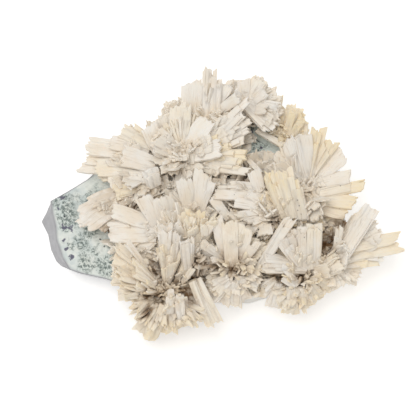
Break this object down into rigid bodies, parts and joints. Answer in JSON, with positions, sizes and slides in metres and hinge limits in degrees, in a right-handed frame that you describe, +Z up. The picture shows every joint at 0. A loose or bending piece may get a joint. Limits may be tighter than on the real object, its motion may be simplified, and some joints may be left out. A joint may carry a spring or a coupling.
{
  "type": "quartz pseudomorph specimen",
  "caption": "Broken plate of pale green-white chalcedony carrying radiating sprays of bladed chalky white to yellow quartz, flat underneath to rest on.",
  "frame": {"origin": "under the middle of the specimen's box, on the plane of the plate's flat underside", "axes": "+X along the longest way across the plate, towards the end opposite the bare stone; +Y away from the front edge; +Z up, out of the underside through the crystals"},
  "size_m": [0.2012, 0.1514, 0.0511],
  "materials": {
    "chalcedony": "waxy, rough broken edge",
    "white_quartz": "chalky matte",
    "yellow_quartz": "chalky matte"
  },
  "bodies": {
    "root": {"matrix_plate": "chalcedony", "crown_spray": "white_quartz", "summit_spray": "white_quartz", "north_east_spray": "white_quartz", "east_shoulder_tuft": "yellow_quartz", "east_rosette": "white_quartz", "ridge_sheaf": "yellow_quartz", "east_fan": "white_quartz", "south_east_rosette": "white_quartz", "south_rosette": "white_quartz", "south_west_rosette": "white_quartz", "west_sheaf": "white_quartz", "west_slabs": "white_quartz", "west_plates": "white_quartz", "north_west_plates": "white_quartz", "west_paddle": "white_quartz", "inner_rosette": "white_quartz", "inner_sheaf": "white_quartz", "shell_sheaf": "white_quartz"}
  },
  "joints": []
}
